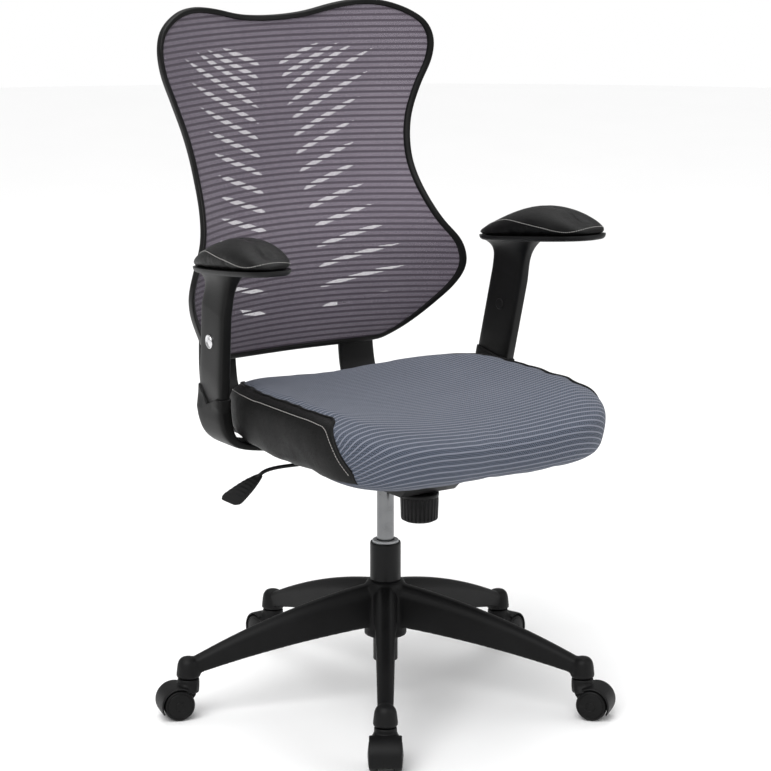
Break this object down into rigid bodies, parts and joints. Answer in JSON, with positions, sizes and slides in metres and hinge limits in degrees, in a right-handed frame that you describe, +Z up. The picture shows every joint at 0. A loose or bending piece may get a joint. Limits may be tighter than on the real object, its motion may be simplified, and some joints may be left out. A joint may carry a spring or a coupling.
{
  "type": "swivel task chair",
  "caption": "Mesh-back swivel task chair with a butterfly-shaped back, height-adjustable arms, gas lift and a caster base.",
  "frame": {"origin": "on the floor under the middle of the chair's bounding box", "axes": "+Z up, the sitter faces -Y, +X is the sitter's left"},
  "size_m": [0.7406, 0.7211, 1.1048],
  "materials": {
    "black_nylon": "fine-grained black nylon",
    "black_plastic": "satin black plastic",
    "black_steel": "black powder coat",
    "steel": "zinc plated",
    "chrome": "polished",
    "pale_nylon": "satin grey nylon",
    "black_vinyl": "grained black vinyl with white stitching",
    "seat_fabric": "ribbed blue-grey woven cloth",
    "back_mesh": "open striped mesh"
  },
  "bodies": {
    "base": {"base_star": "black_nylon", "gas_outer_tube": "black_steel", "guide_bush": "pale_nylon", "thrust_bearing": "steel"},
    "piston": {"piston_rod": "steel"},
    "carriage": {"pressure_tube": "chrome", "mechanism_housing": "black_steel", "tilt_shaft": "steel", "tension_spring": "steel", "tension_bolt": "steel"},
    "release_valve": {"release_pin": "steel"},
    "tension": {"tension_knob": "black_plastic"},
    "lever_guide": {"lever_bush": "pale_nylon"},
    "lever": {"lever_rod": "black_steel", "lever_paddle": "black_plastic"},
    "seat": {"seat_plate": "black_steel", "seat_pan": "black_plastic", "seat_cushion": "seat_fabric", "seat_side_left": "black_vinyl", "seat_side_right": "black_vinyl", "back_bracket_left": "black_steel", "back_bracket_right": "black_steel", "back_rim": "black_plastic", "back_shell": "black_nylon", "back_mesh": "back_mesh", "arm_bracket_left": "black_plastic", "arm_bracket_right": "black_plastic"},
    "arm_left": {"arm_sleeve_left": "black_plastic", "arm_base_left": "black_plastic", "arm_pad_left": "black_vinyl"},
    "button_left": {"arm_button_left": "chrome"},
    "arm_right": {"arm_sleeve_right": "black_plastic", "arm_base_right": "black_plastic", "arm_pad_right": "black_vinyl"},
    "button_right": {"arm_button_right": "chrome"},
    "caster_1": {"caster_stem_1": "steel", "caster_hood_1": "black_nylon", "caster_axle_1": "steel"},
    "wheel_1a": {"caster_wheel_1a": "black_plastic"},
    "wheel_1b": {"caster_wheel_1b": "black_plastic"},
    "caster_2": {"caster_stem_2": "steel", "caster_hood_2": "black_nylon", "caster_axle_2": "steel"},
    "wheel_2a": {"caster_wheel_2a": "black_plastic"},
    "wheel_2b": {"caster_wheel_2b": "black_plastic"},
    "caster_3": {"caster_stem_3": "steel", "caster_hood_3": "black_nylon", "caster_axle_3": "steel"},
    "wheel_3a": {"caster_wheel_3a": "black_plastic"},
    "wheel_3b": {"caster_wheel_3b": "black_plastic"},
    "caster_4": {"caster_stem_4": "steel", "caster_hood_4": "black_nylon", "caster_axle_4": "steel"},
    "wheel_4a": {"caster_wheel_4a": "black_plastic"},
    "wheel_4b": {"caster_wheel_4b": "black_plastic"},
    "caster_5": {"caster_stem_5": "steel", "caster_hood_5": "black_nylon", "caster_axle_5": "steel"},
    "wheel_5a": {"caster_wheel_5a": "black_plastic"},
    "wheel_5b": {"caster_wheel_5b": "black_plastic"}
  },
  "joints": [
    {"name": "swivel", "type": "hinge", "parent": "base", "child": "piston", "pos_m": [0.0045, -0.0224, 0], "axis": [0, 0, 1], "continuous": true},
    {"name": "lift", "type": "slide", "parent": "piston", "child": "carriage", "axis": [0, 0, 1], "range_m": [-0.07, 0.03]},
    {"name": "recline", "type": "hinge", "parent": "carriage", "child": "seat", "pos_m": [0.0045, -0.0824, 0.412], "axis": [-1, 0, 0], "range_deg": [0, 10], "stiffness_Nm_per_rad": 170, "springref_deg": -14.32},
    {"name": "tension_turn", "type": "hinge", "parent": "carriage", "child": "tension", "pos_m": [0.0045, -0.1204, 0.34], "axis": [0, 0, 1], "continuous": true},
    {"name": "tilt_lock", "type": "slide", "parent": "carriage", "child": "lever_guide", "axis": [-1, 0, 0], "range_m": [0, 0.008]},
    {"name": "lever_lift", "type": "hinge", "parent": "lever_guide", "child": "lever", "pos_m": [-0.0445, -0.0524, 0.419], "axis": [0, 1, 0], "range_deg": [0, 3.5], "stiffness_Nm_per_rad": 3, "springref_deg": -5.73},
    {"name": "pin_press", "type": "slide", "parent": "carriage", "child": "release_valve", "axis": [0, 0, -1], "range_m": [0, 0.0036]},
    {"name": "arm_height_left", "type": "slide", "parent": "seat", "child": "arm_left", "axis": [0.0652, -0.187, 0.9802], "range_m": [0, 0.07]},
    {"name": "button_press_left", "type": "slide", "parent": "arm_left", "child": "button_left", "axis": [-0.9952, -0.0836, 0.0502], "range_m": [0, 0.003], "stiffness_N_per_m": 500, "springref_m": -0.001},
    {"name": "arm_height_right", "type": "slide", "parent": "seat", "child": "arm_right", "axis": [-0.0652, -0.187, 0.9802], "range_m": [0, 0.07]},
    {"name": "button_press_right", "type": "slide", "parent": "arm_right", "child": "button_right", "axis": [0.9952, -0.0836, 0.0502], "range_m": [0, 0.003], "stiffness_N_per_m": 500, "springref_m": -0.001},
    {"name": "caster_swivel_1", "type": "hinge", "parent": "base", "child": "caster_1", "pos_m": [-0.17723, -0.29905, 0.06], "axis": [0, 0, 1], "continuous": true},
    {"name": "wheel_spin_1a", "type": "hinge", "parent": "caster_1", "child": "wheel_1a", "pos_m": [-0.18821, -0.31577, 0.025], "axis": [0.8358, -0.549, 0], "continuous": true},
    {"name": "wheel_spin_1b", "type": "hinge", "parent": "caster_1", "child": "wheel_1b", "pos_m": [-0.18821, -0.31577, 0.025], "axis": [0.8358, -0.549, 0], "continuous": true},
    {"name": "caster_swivel_2", "type": "hinge", "parent": "base", "child": "caster_2", "pos_m": [0.21146, -0.28072, 0.06], "axis": [0, 0, 1], "continuous": true},
    {"name": "wheel_spin_2a", "type": "hinge", "parent": "caster_2", "child": "wheel_2a", "pos_m": [0.22396, -0.29633, 0.025], "axis": [0.7804, 0.6252, 0], "continuous": true},
    {"name": "wheel_spin_2b", "type": "hinge", "parent": "caster_2", "child": "wheel_2b", "pos_m": [0.22396, -0.29633, 0.025], "axis": [0.7804, 0.6252, 0], "continuous": true},
    {"name": "caster_swivel_3", "type": "hinge", "parent": "base", "child": "caster_3", "pos_m": [0.31413, 0.0946, 0.06], "axis": [0, 0, 1], "continuous": true},
    {"name": "wheel_spin_3a", "type": "hinge", "parent": "caster_3", "child": "wheel_3a", "pos_m": [0.33284, 0.10167, 0.025], "axis": [-0.3535, 0.9354, 0], "continuous": true},
    {"name": "wheel_spin_3b", "type": "hinge", "parent": "caster_3", "child": "wheel_3b", "pos_m": [0.33284, 0.10167, 0.025], "axis": [-0.3535, 0.9354, 0], "continuous": true},
    {"name": "caster_swivel_4", "type": "hinge", "parent": "base", "child": "caster_4", "pos_m": [-0.01109, 0.30823, 0.06], "axis": [0, 0, 1], "continuous": true},
    {"name": "wheel_spin_4a", "type": "hinge", "parent": "caster_4", "child": "wheel_4a", "pos_m": [-0.01203, 0.32821, 0.025], "axis": [-0.9989, -0.0471, 0], "continuous": true},
    {"name": "wheel_spin_4b", "type": "hinge", "parent": "caster_4", "child": "wheel_4b", "pos_m": [-0.01203, 0.32821, 0.025], "axis": [-0.9989, -0.0471, 0], "continuous": true},
    {"name": "caster_swivel_5", "type": "hinge", "parent": "base", "child": "caster_5", "pos_m": [-0.31477, 0.06494, 0.06], "axis": [0, 0, 1], "continuous": true},
    {"name": "wheel_spin_5a", "type": "hinge", "parent": "caster_5", "child": "wheel_5a", "pos_m": [-0.33406, 0.07022, 0.025], "axis": [-0.2639, -0.9646, 0], "continuous": true},
    {"name": "wheel_spin_5b", "type": "hinge", "parent": "caster_5", "child": "wheel_5b", "pos_m": [-0.33406, 0.07022, 0.025], "axis": [-0.2639, -0.9646, 0], "continuous": true}
  ],
  "couplings": [
    {"joint": "pin_press", "follows": "lever_lift", "m_per_rad": 0.0575}
  ]
}
